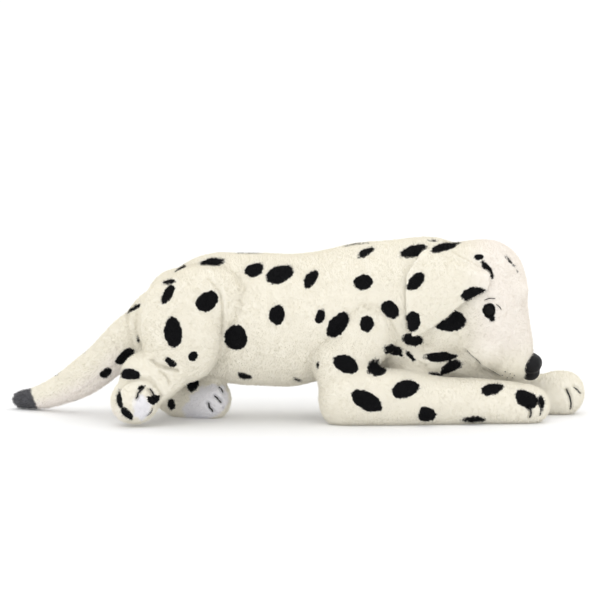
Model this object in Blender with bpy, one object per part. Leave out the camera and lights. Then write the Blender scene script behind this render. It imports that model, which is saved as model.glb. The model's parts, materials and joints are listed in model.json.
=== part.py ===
"""A plush dog lying down: sewn plush covers over separate fillings, with soft joints
at the neck, ears, tail and legs.

Frame: metres, +Z up. The dog looks along +X, its right side faces -Y and it rests on Z = 0.
Lengths and places below are millimetres; MM turns them into metres when a mesh is made.
"""
import math

import bmesh
import bpy
from mathutils import Vector

MM = 0.001

# Cloth, filling and seams
CLOTH = 3.0                 # plush pile with its knitted backing
FILL_DEPTH = 4.8            # the filling starts this far below the outside of the pile
HEAD_FILL_DEPTH = 7.2       # deeper in the head, to leave room for the washers behind the cloth
SEAM = 0.9                  # degrees of arc left open on each side of a seam
SPINE_Y = 14.388            # the dog's mid plane, which centres the whole dog on the origin

# Joint centres and axes
NECK = Vector((165, SPINE_Y, 165))
NECK_RADIUS = 75
TAIL_ROOT = Vector((-231, SPINE_Y, 125))
TAIL_ROOT_RADIUS = 27.5
SOCKET_PLAY = 2.5           # room between a ball joint's cover and its socket
ELBOW_RIGHT = Vector((48, SPINE_Y - 62, 36))
ELBOW_LEFT = Vector((104, SPINE_Y + 62, 36))
HIP_RIGHT = Vector((-166, SPINE_Y - 75, 205))
HIP_LEFT = Vector((-205, SPINE_Y + 70, 137))
EAR_REAR = Vector((172, 66, 243))       # ends of the ear's sewn edge, with y measured from the mid plane
EAR_FRONT = Vector((262, 66, 206))

# The head points down from the skull's centre along the muzzle
SKULL = Vector((245, SPINE_Y, 178))
HEAD_PITCH = math.radians(52)
MUZZLE_WAY = Vector((math.cos(HEAD_PITCH), 0, -math.sin(HEAD_PITCH)))
BROW_WAY = Vector((math.sin(HEAD_PITCH), 0, math.cos(HEAD_PITCH)))

# Eyes and nose
EYE_PLACE = (103, 88)       # along the head from its back, and around it from the brow, in degrees
EYE_RADIUS = 8.5
EYE_HEIGHT = 6.0
LID_PROFILE = [(0.6, 0), (3.2, 0), (2.6, 1.6), (0.8, 2.0)]      # outside the eye's edge, above the cloth
STEM_RADIUS = 2.4
STEM_LENGTH = 10.0
WASHER_RADIUS = 6.5
WASHER_TOP = -4.7
WASHER_THICKNESS = 1.2
LIFT = 0.45                 # gap between a part that lies on the cloth and the cloth
THREAD_RADIUS = 0.7
THREAD_LIFT = 1.6           # a thread spans the hollows of the cloth instead of following them

# Depths of the rounded ends of the soft parts
TORSO_DOME = 30
HEAD_DOMES = (34, 22)       # back of the head and muzzle
TAIL_DOME = 13
FORELEG_DOMES = (26, 24)    # elbow and paw
LOWER_LEG_DOMES = (20, 24)  # hock and paw
THIGH_DOMES = (9, 25)       # towards the body and away from it

# Seams, as degrees round a part from its top
BELLY_SEAM = 142            # also the seam between the head's side and its chin
FOREHEAD_SEAM = 22
TAIL_SEAM = 118
FORELEG_TOP_SEAM = 10
FORELEG_LOW_SEAM = 150
MOUTH_CORNER = 128

# Where the smaller pieces of cloth begin
CHIN_START = 118            # along the head from its back
TAIL_TIP_LENGTH = 30
SOLE_LENGTH = 9
PIECE_GAP = 0.6             # half the gap between two pieces sewn one after the other
SOCKET_INSET = 1.0          # an open end of a filling stays this far inside its cover
EAR_BULGE = 9               # how far the middle of an ear stands out

# Stitched lines
TOE_STEPS = 5
FORE_TOE_START = 26         # before the end of the foreleg
FORE_TOE_STEP = 4.5
FORE_TOE_ANGLE = 32
HIND_TOE_START = 22         # before the end of the lower leg
HIND_TOE_STEP = 3.2
HIND_TOE_ANGLES = (("outer", 30), ("inner", -14))
MOUTH_REACH = 96            # how far back the mouth runs from the end of the muzzle
MOUTH_STEP = 9
MOUTH_FRONT = 14            # the mouth's front line, before the end of the muzzle
NOSE_BACK = 7               # the nose's stem, before the end of the muzzle
NOSE_STRETCH = 0.92
# Radius and height above the cloth, from the nose's underside to its tip
NOSE_PROFILE = [(10, LIFT), (13, -1.0), (15.5, -1.5), (15.5, 1.5), (13, 5.0), (8, 7.6), (0, 8.6)]

# Sections: x, distance from the mid plane, z of the centre, half width, half height
TORSO_SECTIONS = [
    (-240, 0, 124, 36, 30),
    (-226, 0, 127, 44, 36),
    (-200, 0, 132, 54, 49),
    (-150, 0, 140, 62, 73),
    (-112, 0, 143, 65, 85),
    (-85, 0, 142, 75, 91.5),
    (-50, 0, 141, 82, 93.5),
    (0, 0, 141, 84, 92.5),
    (28, 0, 148, 86, 91),
    (55, 0, 156, 87, 89),
    (92, 0, 158, 83, 90.5),
    (118, 0, 160, 70, 87),
]
TAIL_SECTIONS = [
    (-253, 8, 101, 25, 25),
    (-272, 19, 83, 24, 24),
    (-304, 38, 57, 22, 22),
    (-334, 57, 36, 19.5, 19.5),
    (-368, 78, 21, 16.5, 17),
    (-388, 90, 14.5, 14.5, 14.5),
    (-403, 99, 12, 13, 12),
]
FORELEG_RIGHT_SECTIONS = [
    (24, -63, 42, 26, 34),
    (50, -66, 38, 31, 39),
    (90, -68, 37, 33, 39),
    (140, -65, 34.5, 33, 37),
    (180, -60, 31, 32, 33.5),
    (240, -54, 28.5, 31, 31),
    (300, -48, 25, 30, 28),
    (328, -46, 22, 29, 24.5),
    (346, -45, 20, 27, 21),
]
FORELEG_LEFT_SECTIONS = [
    (80, 63, 40, 26, 33),
    (106, 66, 37, 31, 38),
    (150, 65, 34, 33, 36.5),
    (200, 60, 30, 32, 32),
    (260, 54, 27, 30, 29.5),
    (310, 49, 25, 29, 28),
    (340, 47, 25, 29, 28),
    (372, 46, 28, 31, 31),
    (406.68, 45, 24, 29, 26),
]
LEG_RIGHT_SECTIONS = [
    (-198, -34, 66, 24, 24),
    (-206, -58, 60, 27, 27),
    (-216, -82, 47, 29, 28),
    (-226, -106, 31, 34, 31),
    (-229, -134, 28, 34, 30),
]
LEG_LEFT_SECTIONS = [
    (-212, 44, 52, 23, 23),
    (-192, 32, 39, 26, 26),
    (-165, 18, 27, 28, 29),
    (-135, 6, 25, 29, 28),
    (-101, -8, 24, 28, 27),
]
THIGH_CENTRE = (-166, 137)              # x and z
THIGH_HALF = (52, 76)
THIGH_TILT = math.radians(14)
THIGH_INNER = 66.5                      # distances from the mid plane
THIGH_OUTER = 103
# Sections of the head: along the head from its back, brow and throat heights, half width
HEAD_BACK = 73                          # from the back of the head to the skull's centre
HEAD_SECTIONS = [
    (0, 52, -8, 50),
    (13, 56, -18, 52),
    (40, 72, -45, 56),
    (73, 79, -62, 60),
    (103, 68, -66, 59),
    (133, 46, -60, 52),
    (158, 33, -51, 43),
    (183, 24, -39, 36),
    (199, 17, -29, 30),
    (213, 11, -23, 25),
]
# The ear's free edge from its back to its front: x, distance from the mid plane, z
EAR_EDGE = [
    (148, 81, 205),
    (146, 87, 160),
    (156, 89, 124),
    (190, 88, 138),
    (226, 84, 166),
    (259, 75, 187),
]
EAR_CLOTH = 2.6
EAR_LINING = (4.2, 6.2)                 # depth of the lining's two faces below the ear's outside

IVORY = (0.86, 0.80, 0.70, 1)
PALE_PINK = (0.84, 0.74, 0.66, 1)
BLUISH_WHITE = (0.74, 0.76, 0.80, 1)
GREY = (0.13, 0.13, 0.14, 1)
FIBRE_WHITE = (0.90, 0.90, 0.88, 1)
BLACK = (0.012, 0.012, 0.013, 1)


def clear_scene():
    for old in list(bpy.data.objects):
        bpy.data.objects.remove(old, do_unlink=True)


def material(name, colour, roughness, metallic=0.0):
    finish = bpy.data.materials.new(name)
    finish.use_nodes = True
    shader = finish.node_tree.nodes["Principled BSDF"]
    shader.inputs["Base Color"].default_value = colour
    shader.inputs["Roughness"].default_value = roughness
    shader.inputs["Metallic"].default_value = metallic
    return finish


def smooth_row(rows, marks, s):
    """The row of values at distance s along a smooth curve through the rows."""
    last = len(rows) - 1
    s = min(max(s, marks[0]), marks[last])
    k = 0
    while k < last - 1 and s > marks[k + 1]:
        k += 1
    span = marks[k + 1] - marks[k]
    t = (s - marks[k]) / span
    row = []
    for column in range(len(rows[0])):
        slopes = []
        for i in (k, k + 1):
            low, high = max(i - 1, 0), min(i + 1, last)
            slopes.append((rows[high][column] - rows[low][column]) / (marks[high] - marks[low]))
        start, end = rows[k][column], rows[k + 1][column]
        bend_start, bend_end = slopes[0] * span, slopes[1] * span
        cubic = 2 * start - 2 * end + bend_start + bend_end
        square = -3 * start + 3 * end - 2 * bend_start - bend_end
        row.append(((cubic * t + square) * t + bend_start) * t + start)
    return row


def dome(distance, depth):
    """Share of the full section left at a distance from a domed end."""
    if depth <= 0 or distance >= depth:
        return 1.0
    short = 1 - max(distance, 0.0) / depth
    return math.sqrt(max(1 - short * short, 0.0))


class Tube:
    """A soft tube of elliptical sections on a smooth spine, domed at its ends, flat on the floor.

    A place on it is a distance along the spine and an angle: 0 is the top, 90 the right of the way it runs.
    The sections stand square to the spine, or all square to one given way.
    """

    def __init__(self, sections, start=0.0, end=0.0, up=(0, 0, 1), way=None):
        self.rows = sections
        self.start = start
        self.end = end
        self.up = Vector(up).normalized()
        self.way = way
        self.marks = [0.0]
        for before, after in zip(sections, sections[1:]):
            self.marks.append(self.marks[-1] + (Vector(after[:3]) - Vector(before[:3])).length)
        self.length = self.marks[-1]

    def centre(self, s):
        return Vector(smooth_row(self.rows, self.marks, s)[:3])

    def skin(self, s, angle):
        x, y, z, half_width, half_height = smooth_row(self.rows, self.marks, s)
        step = 0.5
        way = self.way or (self.centre(s + step) - self.centre(s - step)).normalized()
        side = way.cross(self.up).normalized()
        top = side.cross(way)
        share = dome(s, self.start) * dome(self.length - s, self.end)
        turn = math.radians(angle)
        across = side * (half_width * share * math.sin(turn))
        upward = top * (half_height * share * math.cos(turn))
        return Vector((x, y, z)) + across + upward

    def normal(self, s, angle):
        low, high = max(s - 0.3, 0.0), min(s + 0.3, self.length)
        along = self.skin(high, angle) - self.skin(low, angle)
        around = self.skin(s, angle + 1) - self.skin(s, angle - 1)
        return around.cross(along).normalized()

    def point(self, s, angle, depth):
        place = self.skin(s, angle) - self.normal(s, angle) * depth
        place.z = max(place.z, depth)
        return place

    def cuts(self, spacing):
        """Distances along the tube, closer together over its domed ends."""
        places = [self.start * (1 - math.cos(math.radians(a))) for a in (9, 32, 60) if self.start]
        middle = self.length - self.start - self.end
        count = max(round(middle / spacing), 1)
        places += [self.start + middle * i / count for i in range(count + 1)]
        places += [self.length - self.end * (1 - math.cos(math.radians(a))) for a in (60, 32, 9) if self.end]
        return places


class Flap:
    """An ear between its sewn edge and its free edge; side is -1 for the right ear, 1 for the left."""

    def __init__(self, side):
        self.side = side
        self.marks = list(range(len(EAR_EDGE)))

    def skin(self, s, drop):
        """A place: s runs 0 to 1 from back to front, drop 0 to 1 from the sewn edge to the free edge."""
        root = EAR_REAR.lerp(EAR_FRONT, s)
        free = Vector(smooth_row(EAR_EDGE, self.marks, s * self.marks[-1]))
        place = root.lerp(free, drop)
        place.y += EAR_BULGE * math.sin(drop * math.pi) * math.sin(math.pi * (0.2 + 0.6 * s))
        return Vector((place.x, SPINE_Y + self.side * place.y, place.z))

    def point(self, s, drop, depth):
        place = self.skin(s, drop)
        place.y -= self.side * depth
        return place


def from_mid_plane(sections):
    return [(x, SPINE_Y + y, *rest) for x, y, *rest in sections]


def head_tube():
    sections = []
    for along, brow, throat, half_width in HEAD_SECTIONS:
        centre = SKULL + MUZZLE_WAY * (along - HEAD_BACK) + BROW_WAY * (brow + throat) / 2
        sections.append((*centre, half_width, (brow - throat) / 2))
    return Tube(sections, start=HEAD_DOMES[0], end=HEAD_DOMES[1], way=MUZZLE_WAY)


def ball_tube(centre, radius):
    places = [centre.x + step * radius for step in (-1, -0.5, 0.5, 1)]
    sections = [(x, centre.y, centre.z, radius, radius) for x in places]
    return Tube(sections, start=radius, end=radius)


def thigh_tube(side):
    x, z = THIGH_CENTRE
    wide, tall = THIGH_HALF
    depths = (THIGH_INNER, (THIGH_INNER + THIGH_OUTER) / 2, THIGH_OUTER)
    sections = [(x, SPINE_Y + side * depth, z, wide, tall) for depth in depths]
    tilted_up = (-math.sin(THIGH_TILT), 0, math.cos(THIGH_TILT))
    return Tube(sections, start=THIGH_DOMES[0], end=THIGH_DOMES[1], up=tilted_up)


def new_object(name, points, faces, finish, body):
    """A closed mesh from points in millimetres, kept on its body's empty."""
    mesh = bpy.data.meshes.new(name)
    origin = body.location if body else Vector((0, 0, 0))
    work = bmesh.new()
    corners = [work.verts.new(Vector(p) * MM - origin) for p in points]
    for face in faces:
        work.faces.new([corners[i] for i in face])
    bmesh.ops.recalc_face_normals(work, faces=work.faces)
    work.to_mesh(mesh)
    work.free()
    obj = bpy.data.objects.new(name, mesh)
    bpy.context.scene.collection.objects.link(obj)
    if finish:
        obj.data.materials.append(finish)
    if body:
        obj.parent = body
    return obj


def panel(name, surface, places, turns, faces_at, finish, body):
    """A piece of cloth between two depths over part of a surface."""
    points = []
    for depth in faces_at:
        points += [surface.point(s, t, depth) for s in places for t in turns]
    wide, tall = len(turns), len(places)
    layer = wide * tall
    faces = []
    for i in range(tall - 1):
        for j in range(wide - 1):
            a = i * wide + j
            quad = (a, a + 1, a + wide + 1, a + wide)
            faces.append(quad)
            faces.append(tuple(layer + q for q in reversed(quad)))
    rim = list(range(wide))
    rim += [i * wide + wide - 1 for i in range(1, tall)]
    rim += [(tall - 1) * wide + j for j in range(wide - 2, -1, -1)]
    rim += [i * wide for i in range(tall - 2, 0, -1)]
    for a, b in zip(rim, rim[1:] + rim[:1]):
        faces.append((b, a, layer + a, layer + b))
    return new_object(name, points, faces, finish, body)


def rings(tube, places, count, depth):
    return [[tube.point(s, 360 * j / count, depth) for j in range(count)] for s in places]


def ring_faces(first, second, count):
    faces = []
    for j in range(count):
        k = (j + 1) % count
        faces.append((first + j, first + k, second + k, second + j))
    return faces


def filling(name, tube, spacing, count, depth, finish, body, inset=0.0):
    """The stuffing of a tube: its surface at a depth, closed at both ends; inset shortens open ends."""
    places = tube.cuts(spacing)
    if not tube.start:
        places[0] += inset
    if not tube.end:
        places[-1] -= inset
    loops = rings(tube, places, count, depth)
    points = [p for loop in loops for p in loop]
    faces = [tuple(range(count)), tuple(range(len(points) - count, len(points)))]
    for i in range(len(loops) - 1):
        faces += ring_faces(i * count, (i + 1) * count, count)
    return new_object(name, points, faces, finish, body)


def sleeve(name, tube, places, count, finish, body, closed_end=False):
    """Cloth all round a tube, open at both ends or closed like a cap at its far end."""
    outer = [p for loop in rings(tube, places, count, 0.0) for p in loop]
    inner = [p for loop in rings(tube, places, count, CLOTH) for p in loop]
    layer = len(outer)
    faces = ring_faces(0, layer, count)
    for i in range(len(places) - 1):
        faces += ring_faces(i * count, (i + 1) * count, count)
        faces += ring_faces(layer + i * count, layer + (i + 1) * count, count)
    last = layer - count
    if closed_end:
        faces.append(tuple(range(last, last + count)))
        faces.append(tuple(range(layer + last, layer + last + count)))
    else:
        faces += ring_faces(last, layer + last, count)
    return new_object(name, outer + inner, faces, finish, body)


def turned(name, profile, origin, axis, count, finish, body, stretch=1.0):
    """A solid turned about an axis from (radius, height) pairs; a zero radius closes it on the axis."""
    up = axis.normalized()
    side = up.cross(Vector((0, 1, 0))).normalized()
    if side.length < 0.5:
        side = Vector((1, 0, 0))
    other = up.cross(side)
    points = []
    starts = []
    for radius, height in profile:
        starts.append((len(points), radius == 0))
        if radius == 0:
            points.append(origin + up * height)
            continue
        for j in range(count):
            turn = 2 * math.pi * j / count
            reach = side * (radius * stretch * math.cos(turn)) + other * (radius * math.sin(turn))
            points.append(origin + up * height + reach)
    faces = []
    pairs = list(zip(starts, starts[1:]))
    if not starts[0][1]:
        pairs.append((starts[-1], starts[0]))
    for (a, a_pole), (b, b_pole) in pairs:
        for j in range(count):
            k = (j + 1) % count
            if a_pole:
                faces.append((a, b + k, b + j))
            elif b_pole:
                faces.append((a + j, a + k, b))
            else:
                faces.append((a + j, a + k, b + k, b + j))
    return new_object(name, points, faces, finish, body)


def thread(name, surface, path, finish, body, sides=5):
    """A sewing thread lying on the cloth along a path of places on a surface."""
    spots = [surface.point(s, angle, 0.0) for s, angle in path]
    outs = [surface.normal(s, angle) for s, angle in path]
    points = []
    for i, spot in enumerate(spots):
        way = (spots[min(i + 1, len(spots) - 1)] - spots[max(i - 1, 0)]).normalized()
        across = way.cross(outs[i]).normalized()
        middle = spot + outs[i] * (THREAD_RADIUS + THREAD_LIFT)
        for j in range(sides):
            turn = 2 * math.pi * j / sides
            reach = across * math.cos(turn) + outs[i] * math.sin(turn)
            points.append(middle + reach * THREAD_RADIUS)
    faces = [tuple(range(sides)), tuple(range(len(points) - sides, len(points)))]
    for i in range(len(spots) - 1):
        faces += ring_faces(i * sides, (i + 1) * sides, sides)
    return new_object(name, points, faces, finish, body)


def cut(obj, cutter):
    boolean = obj.modifiers.new("Cut", "BOOLEAN")
    boolean.operation = "DIFFERENCE"
    boolean.solver = "EXACT"
    boolean.object = cutter


def cutter_ball(name, centre, radius):
    turns = [math.radians(a) for a in range(15, 180, 15)]
    profile = [(0, -radius)]
    profile += [(radius * math.sin(turn), -radius * math.cos(turn)) for turn in turns]
    profile += [(0, radius)]
    ball = turned(name, profile, centre, Vector((0.05, 0.02, 1)), 24, None, None)
    return as_cutter(ball)


def as_cutter(obj):
    obj.hide_render = True
    obj.display_type = "WIRE"
    return obj


def body_empty(name, place, parent=None):
    empty = bpy.data.objects.new(name, None)
    bpy.context.scene.collection.objects.link(empty)
    empty.location = place * MM
    if parent:
        empty.parent = parent
        empty.matrix_parent_inverse = parent.matrix_world.inverted()
    return empty


def spread(first, last, count):
    return [first + (last - first) * i / (count - 1) for i in range(count)]


def middle_cuts(tube, spacing, skip_start=0, skip_end=0):
    places = tube.cuts(spacing)
    return places[skip_start:len(places) - skip_end]


def make_torso(body, tail_socket):
    tube = Tube(from_mid_plane(TORSO_SECTIONS), start=TORSO_DOME, way=Vector((1, 0, 0)))
    ivory = material("torso_plush", IVORY, 0.95)
    places = middle_cuts(tube, 30, skip_start=1)
    sides = {
        "torso_panel_right": (SEAM, BELLY_SEAM - SEAM, 9),
        "belly_panel": (BELLY_SEAM + SEAM, 360 - BELLY_SEAM - SEAM, 6),
        "torso_panel_left": (360 - BELLY_SEAM + SEAM, 360 - SEAM, 9),
    }
    pieces = []
    for name, (first, last, count) in sides.items():
        pieces.append(panel(name, tube, places, spread(first, last, count), (0, CLOTH), ivory, body))
    fibre = material("torso_fibre", FIBRE_WHITE, 1.0)
    fill = filling("torso_filling", tube, 30, 20, FILL_DEPTH, fibre, body, inset=SOCKET_INSET)
    pieces.append(hollow_front(fill, 20))
    for piece in pieces:
        cut(piece, tail_socket)


def hollow_front(fill, count):
    """Presses a round socket for the neck into the front end of the torso's filling."""
    reach = (NECK_RADIUS + SOCKET_PLAY) * MM
    work = bmesh.new()
    work.from_mesh(fill.data)
    front = max(work.faces, key=lambda face: (len(face.verts) == count, face.calc_center_median().x))
    plane = front.calc_center_median().x
    neck = NECK * MM - fill.parent.location
    bmesh.ops.inset_region(work, faces=[front], thickness=0.0005, depth=0)
    steps = 4
    widest = math.acos((neck.x - plane) / reach)
    for step in range(steps):
        angle = widest * (1 - step / steps)
        loop = list(front.verts)
        centre_y, centre_z = neck.y, neck.z
        for vert in loop:
            turn = math.atan2(vert.co.z - centre_z, vert.co.y - centre_y)
            radius = reach * math.sin(angle)
            vert.co.x = neck.x - reach * math.cos(angle)
            vert.co.y = centre_y + radius * math.cos(turn)
            vert.co.z = centre_z + radius * math.sin(turn)
        if step < steps - 1:
            bmesh.ops.inset_region(work, faces=[front], thickness=0.002, depth=0)
    bmesh.ops.recalc_face_normals(work, faces=work.faces)
    work.to_mesh(fill.data)
    work.free()
    return fill


def make_neck(body):
    tube = ball_tube(NECK, NECK_RADIUS)
    plush = material("neck_plush", IVORY, 0.95)
    fibre = material("neck_fibre", FIBRE_WHITE, 1.0)
    places = [NECK_RADIUS * (1 - math.cos(math.radians(a))) for a in (48, 62, 76, 90, 104, 118, 132)]
    sleeve("neck_cover", tube, places, 24, plush, body)
    filling("neck_filling", tube, 1, 20, FILL_DEPTH, fibre, body)


def make_head(body, neck_socket):
    tube = head_tube()
    plush = material("head_plush", PALE_PINK, 0.95)
    fibre = material("head_fibre", FIBRE_WHITE, 1.0)
    places = middle_cuts(tube, 20, skip_start=1, skip_end=1)
    chin_places = [s for s in places if s > CHIN_START]
    brow = spread(SEAM - FOREHEAD_SEAM, FOREHEAD_SEAM - SEAM, 4)
    right = spread(FOREHEAD_SEAM + SEAM, BELLY_SEAM - SEAM, 8)
    left = spread(360 - BELLY_SEAM + SEAM, 360 - FOREHEAD_SEAM - SEAM, 8)
    chin = spread(BELLY_SEAM + SEAM, 360 - BELLY_SEAM - SEAM, 6)
    pieces = [
        panel("forehead_strip", tube, places, brow, (0, CLOTH), plush, body),
        panel("head_panel_right", tube, places, right, (0, CLOTH), plush, body),
        panel("head_panel_left", tube, places, left, (0, CLOTH), plush, body),
        panel("chin_panel", tube, chin_places, chin, (0, CLOTH), plush, body),
        filling("head_filling", tube, 20, 20, HEAD_FILL_DEPTH, fibre, body),
    ]
    for piece in pieces:
        cut(piece, neck_socket)
    for side, turn in (("right", 1), ("left", -1)):
        make_eye(side, tube, turn, body, pieces)
    make_nose(tube, body, pieces)
    back = tube.length - MOUTH_REACH
    steps = [back + MOUTH_STEP * i for i in range(9)]
    mouth = [(s, MOUTH_CORNER) for s in steps]
    mouth += [(tube.length - MOUTH_FRONT, angle) for angle in (135, 150, 165, 180, 195, 210, 225)]
    mouth += [(s, 360 - MOUTH_CORNER) for s in reversed(steps)]
    thread("mouth_thread", tube, mouth, material("mouth_thread", BLACK, 0.6), body)


def stem_profile():
    return [(0, -STEM_LENGTH), (STEM_RADIUS, -STEM_LENGTH), (STEM_RADIUS, LIFT)]


def make_eye(side, tube, turn, body, head_pieces):
    along, around = EYE_PLACE
    origin = tube.point(along, turn * around, 0)
    axis = tube.normal(along, turn * around)
    plastic = material("eye_" + side, BLACK, 0.06)
    profile = stem_profile() + [(EYE_RADIUS, LIFT)]
    profile += [(EYE_RADIUS * math.cos(a), LIFT + EYE_HEIGHT * math.sin(a)) for a in (0.5, 1.0)]
    profile += [(0, LIFT + EYE_HEIGHT)]
    turned("eye_" + side, profile, origin, axis, 16, plastic, body)
    make_washer("eye_washer_" + side, origin, axis, body)
    rim = [(EYE_RADIUS + out, LIFT + up) for out, up in LID_PROFILE]
    turned("eyelid_" + side, rim, origin, axis, 16, material("eyelid_" + side, BLACK, 0.8), body)
    stem_hole("eye_hole_" + side, origin, axis, head_pieces)


def make_washer(name, origin, axis, body):
    bottom = WASHER_TOP - WASHER_THICKNESS
    bore = STEM_RADIUS + 0.5
    profile = [(bore, bottom), (WASHER_RADIUS, bottom), (WASHER_RADIUS, WASHER_TOP), (bore, WASHER_TOP)]
    turned(name, profile, origin, axis, 14, material(name, FIBRE_WHITE, 0.4), body)


def stem_hole(name, origin, axis, pieces):
    bore = STEM_RADIUS + 0.5
    deep = STEM_LENGTH + 1
    profile = [(0, -deep), (bore, -deep), (bore, 3), (0, 3)]
    hole = as_cutter(turned(name, profile, origin, axis, 14, None, None))
    for piece in pieces:
        cut(piece, hole)


def make_nose(tube, body, head_pieces):
    along = tube.length - NOSE_BACK
    origin = tube.point(along, 0, 0)
    axis = tube.normal(along, 0)
    profile = stem_profile() + NOSE_PROFILE
    turned("nose", profile, origin, axis, 18, material("nose", BLACK, 0.35), body, stretch=NOSE_STRETCH)
    make_washer("nose_washer", origin, axis, body)
    stem_hole("nose_hole", origin, axis, head_pieces)


def make_ear(side, sign, body):
    flap = Flap(sign)
    plush = material("ear_plush_" + side, IVORY, 0.95)
    lining = material("ear_lining_" + side, PALE_PINK, 0.9)
    along = spread(0, 1, 9)
    drop = spread(0, 1, 7)
    panel(f"ear_{side}_outer", flap, along, drop, (0, EAR_CLOTH), plush, body)
    panel(f"ear_{side}_lining", flap, along, drop, EAR_LINING, lining, body)


def make_tail_root(body):
    tube = ball_tube(TAIL_ROOT, TAIL_ROOT_RADIUS)
    plush = material("tail_root_plush", IVORY, 0.95)
    fibre = material("tail_root_fibre", FIBRE_WHITE, 1.0)
    places = [TAIL_ROOT_RADIUS * (1 - math.cos(math.radians(a))) for a in (30, 50, 70, 90, 110, 130, 150)]
    sleeve("tail_root_cover", tube, places, 16, plush, body)
    filling("tail_root_filling", tube, 1, 14, FILL_DEPTH, fibre, body)


def make_tail(body):
    tube = Tube(from_mid_plane(TAIL_SECTIONS), end=TAIL_DOME)
    ivory = material("tail_plush", IVORY, 0.95)
    pink = material("tail_underside", PALE_PINK, 0.95)
    tip_start = tube.length - TAIL_TIP_LENGTH
    places = spread(0, tip_start - 0.8, 8)
    upper = spread(SEAM - TAIL_SEAM, TAIL_SEAM - SEAM, 9)
    lower = spread(TAIL_SEAM + SEAM, 360 - TAIL_SEAM - SEAM, 6)
    panel("tail_upper_cover", tube, places, upper, (0, CLOTH), ivory, body)
    panel("tail_lower_cover", tube, places, lower, (0, CLOTH), pink, body)
    tip_places = [tip_start] + middle_cuts(tube, 30)[-4:]
    sleeve("tail_tip_cover", tube, tip_places, 14, material("tail_tip", GREY, 0.9), body, closed_end=True)
    fibre = material("tail_fibre", FIBRE_WHITE, 1.0)
    filling("tail_filling", tube, 28, 14, FILL_DEPTH, fibre, body, inset=SOCKET_INSET)


def make_foreleg(side, sections, top_seam, body):
    tube = Tube(from_mid_plane(sections), start=FORELEG_DOMES[0], end=FORELEG_DOMES[1])
    plush = material(f"foreleg_{side}_plush", IVORY, 0.95)
    fibre = material(f"foreleg_{side}_fibre", FIBRE_WHITE, 1.0)
    places = middle_cuts(tube, 34, skip_start=1, skip_end=1)
    low_seam = FORELEG_LOW_SEAM if side == "right" else 360 - FORELEG_LOW_SEAM
    outside = spread(top_seam + SEAM, low_seam - SEAM, 7)
    inside = spread(low_seam + SEAM, top_seam + 360 - SEAM, 11)
    if side == "left":
        outside = spread(low_seam + SEAM, top_seam + 360 - SEAM, 7)
        inside = spread(top_seam + SEAM, low_seam - SEAM, 11)
    panel(f"foreleg_{side}_outer_panel", tube, places, outside, (0, CLOTH), plush, body)
    panel(f"foreleg_{side}_inner_panel", tube, places, inside, (0, CLOTH), plush, body)
    filling(f"foreleg_{side}_filling", tube, 34, 16, FILL_DEPTH, fibre, body)
    turn = 1 if side == "right" else -1
    toe_start = tube.length - FORE_TOE_START
    for label, angle in (("outer", FORE_TOE_ANGLE), ("inner", -FORE_TOE_ANGLE)):
        path = [(toe_start + FORE_TOE_STEP * i, turn * angle) for i in range(TOE_STEPS)]
        ink = material(f"toe_thread_{side}_{label}", BLACK, 0.6)
        thread(f"foreleg_{side}_toe_thread_{label}", tube, path, ink, body)


def make_thigh(side, sign, body):
    tube = thigh_tube(sign)
    plush = material(f"thigh_{side}_plush", IVORY, 0.95)
    fibre = material(f"thigh_{side}_fibre", FIBRE_WHITE, 1.0)
    places = middle_cuts(tube, 12, skip_start=1)
    sleeve(f"thigh_{side}_cover", tube, places, 24, plush, body, closed_end=True)
    filling(f"thigh_{side}_filling", tube, 12, 20, FILL_DEPTH, fibre, body)


def make_lower_leg(side, sections, body):
    tube = Tube(from_mid_plane(sections), start=LOWER_LEG_DOMES[0], end=LOWER_LEG_DOMES[1])
    plush = material(f"lower_leg_{side}_plush", IVORY, 0.95)
    fibre = material(f"lower_leg_{side}_fibre", FIBRE_WHITE, 1.0)
    felt = material(f"sole_{side}", BLUISH_WHITE, 0.9)
    sole_start = tube.length - SOLE_LENGTH
    places = [s for s in middle_cuts(tube, 22, skip_start=1) if s < sole_start - 2]
    sleeve(f"lower_leg_{side}_cover", tube, places + [sole_start - PIECE_GAP], 18, plush, body)
    sole_places = [sole_start + PIECE_GAP] + [s for s in tube.cuts(22) if s > sole_start + 2]
    sleeve(f"sole_pad_{side}", tube, sole_places, 18, felt, body, closed_end=True)
    filling(f"lower_leg_{side}_filling", tube, 22, 16, FILL_DEPTH, fibre, body)
    toe_start = tube.length - HIND_TOE_START
    for label, angle in HIND_TOE_ANGLES:
        path = [(toe_start + HIND_TOE_STEP * i, angle) for i in range(TOE_STEPS)]
        ink = material(f"hind_toe_thread_{side}_{label}", BLACK, 0.6)
        thread(f"hind_{side}_toe_thread_{label}", tube, path, ink, body)


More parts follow.
